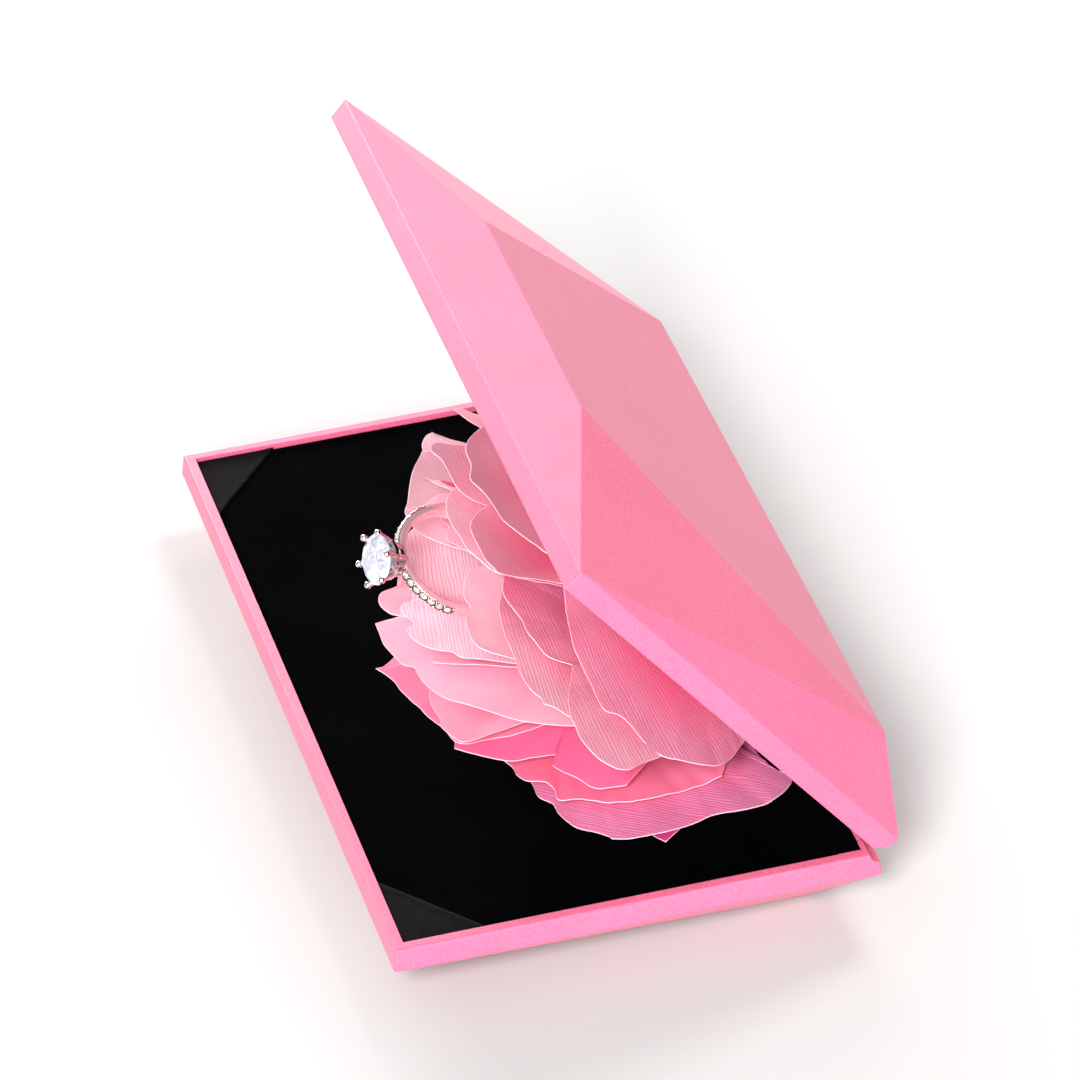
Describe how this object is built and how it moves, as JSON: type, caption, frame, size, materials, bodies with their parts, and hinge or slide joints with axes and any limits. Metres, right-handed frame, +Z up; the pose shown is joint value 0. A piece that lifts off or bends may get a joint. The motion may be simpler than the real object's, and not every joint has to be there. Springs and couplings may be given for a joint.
{
  "type": "ring box",
  "caption": "Slim faceted clamshell ring box; opening the lid fans out a paper rose that presents a solitaire ring.",
  "frame": {"origin": "middle of the base's flat underside, which rests on the surface", "axes": "+X along the hinge, +Y towards the hinge at the back, +Z up; the case opens towards -Y"},
  "size_m": [0.1508, 0.0855, 0.0795],
  "materials": {
    "shell_pink": "soft-touch satin, very fine grain",
    "liner_black": "matt black",
    "tab_charcoal": "matt, fine weave",
    "magnet_nickel": "nickel plated",
    "hinge_steel": "satin",
    "screw_steel": "satin",
    "gusset_paper": "matt",
    "carrier_card": "matt",
    "pad_velvet": "short pile",
    "petal_paper": "crepe paper, fine lengthwise ribs, pale cut edges",
    "ring_metal": "polished",
    "stone_clear": "faceted, clear"
  },
  "bodies": {
    "base": {"base_shell": "shell_pink", "base_liner": "liner_black", "base_corner_tabs": "tab_charcoal", "base_magnets": "magnet_nickel", "base_hinge_leaf": "hinge_steel", "base_hinge_screws": "screw_steel", "hinge_pin": "hinge_steel", "base_gusset": "gusset_paper", "petal_under": "petal_paper", "petal_base_near_1": "petal_paper", "petal_base_near_2": "petal_paper", "petal_base_near_3": "petal_paper", "petal_base_near_4": "petal_paper", "petal_base_far_1": "petal_paper", "petal_base_far_2": "petal_paper", "petal_base_far_3": "petal_paper", "petal_base_far_4": "petal_paper", "petal_front_1": "petal_paper"},
    "lid": {"lid_shell": "shell_pink", "lid_liner": "liner_black", "lid_corner_tabs": "tab_charcoal", "lid_magnets": "magnet_nickel", "lid_hinge_leaf": "hinge_steel", "lid_hinge_screws": "screw_steel", "lid_gusset": "gusset_paper", "petal_lid_far_1": "petal_paper", "petal_lid_near_1": "petal_paper", "petal_lid_far_2": "petal_paper", "petal_lid_2": "petal_paper"},
    "rose": {"rose_carrier": "carrier_card", "ring_pad": "pad_velvet", "ring_shank": "ring_metal", "ring_head": "ring_metal", "ring_stone": "stone_clear", "ring_pave_stones": "stone_clear", "petal_front_2": "petal_paper", "petal_front_3": "petal_paper", "petal_front_lobe": "petal_paper", "petal_far_tips": "petal_paper", "petal_far_4": "petal_paper", "petal_heart_back": "petal_paper", "petal_heart_side": "petal_paper", "petal_far_1": "petal_paper", "petal_near_1": "petal_paper", "petal_near_2": "petal_paper", "petal_far_2": "petal_paper", "petal_near_3": "petal_paper", "petal_far_3": "petal_paper", "petal_heart_front": "petal_paper", "petal_near_4": "petal_paper", "petal_lid_1": "petal_paper"}
  },
  "joints": [
    {"name": "lid_hinge", "type": "hinge", "parent": "base", "child": "lid", "pos_m": [0, 0.04025, 0.0136], "axis": [-1, 0, 0], "range_deg": [-51.7, 48.3], "deforming": ["petal_under", "petal_base_near_1", "petal_base_near_2", "petal_base_near_3", "petal_base_near_4", "petal_base_far_1", "petal_base_far_2", "petal_base_far_3", "petal_base_far_4", "petal_front_1", "petal_front_2", "petal_front_3", "petal_front_lobe", "petal_far_tips", "petal_far_4", "petal_heart_back", "petal_heart_side", "petal_far_1", "petal_near_1", "petal_near_2", "petal_far_2", "petal_near_3", "petal_far_3", "petal_heart_front", "petal_near_4", "petal_lid_1", "petal_lid_far_1", "petal_lid_near_1", "petal_lid_far_2", "petal_lid_2", "base_gusset", "lid_gusset", "base_liner", "lid_liner"]},
    {"name": "rose_lift", "type": "hinge", "parent": "base", "child": "rose", "pos_m": [0, 0.04025, 0.0136], "axis": [-1, 0, 0], "range_deg": [-25.85, 24.15]}
  ],
  "couplings": [
    {"joint": "rose_lift", "follows": "lid_hinge", "ratio": 0.5}
  ]
}
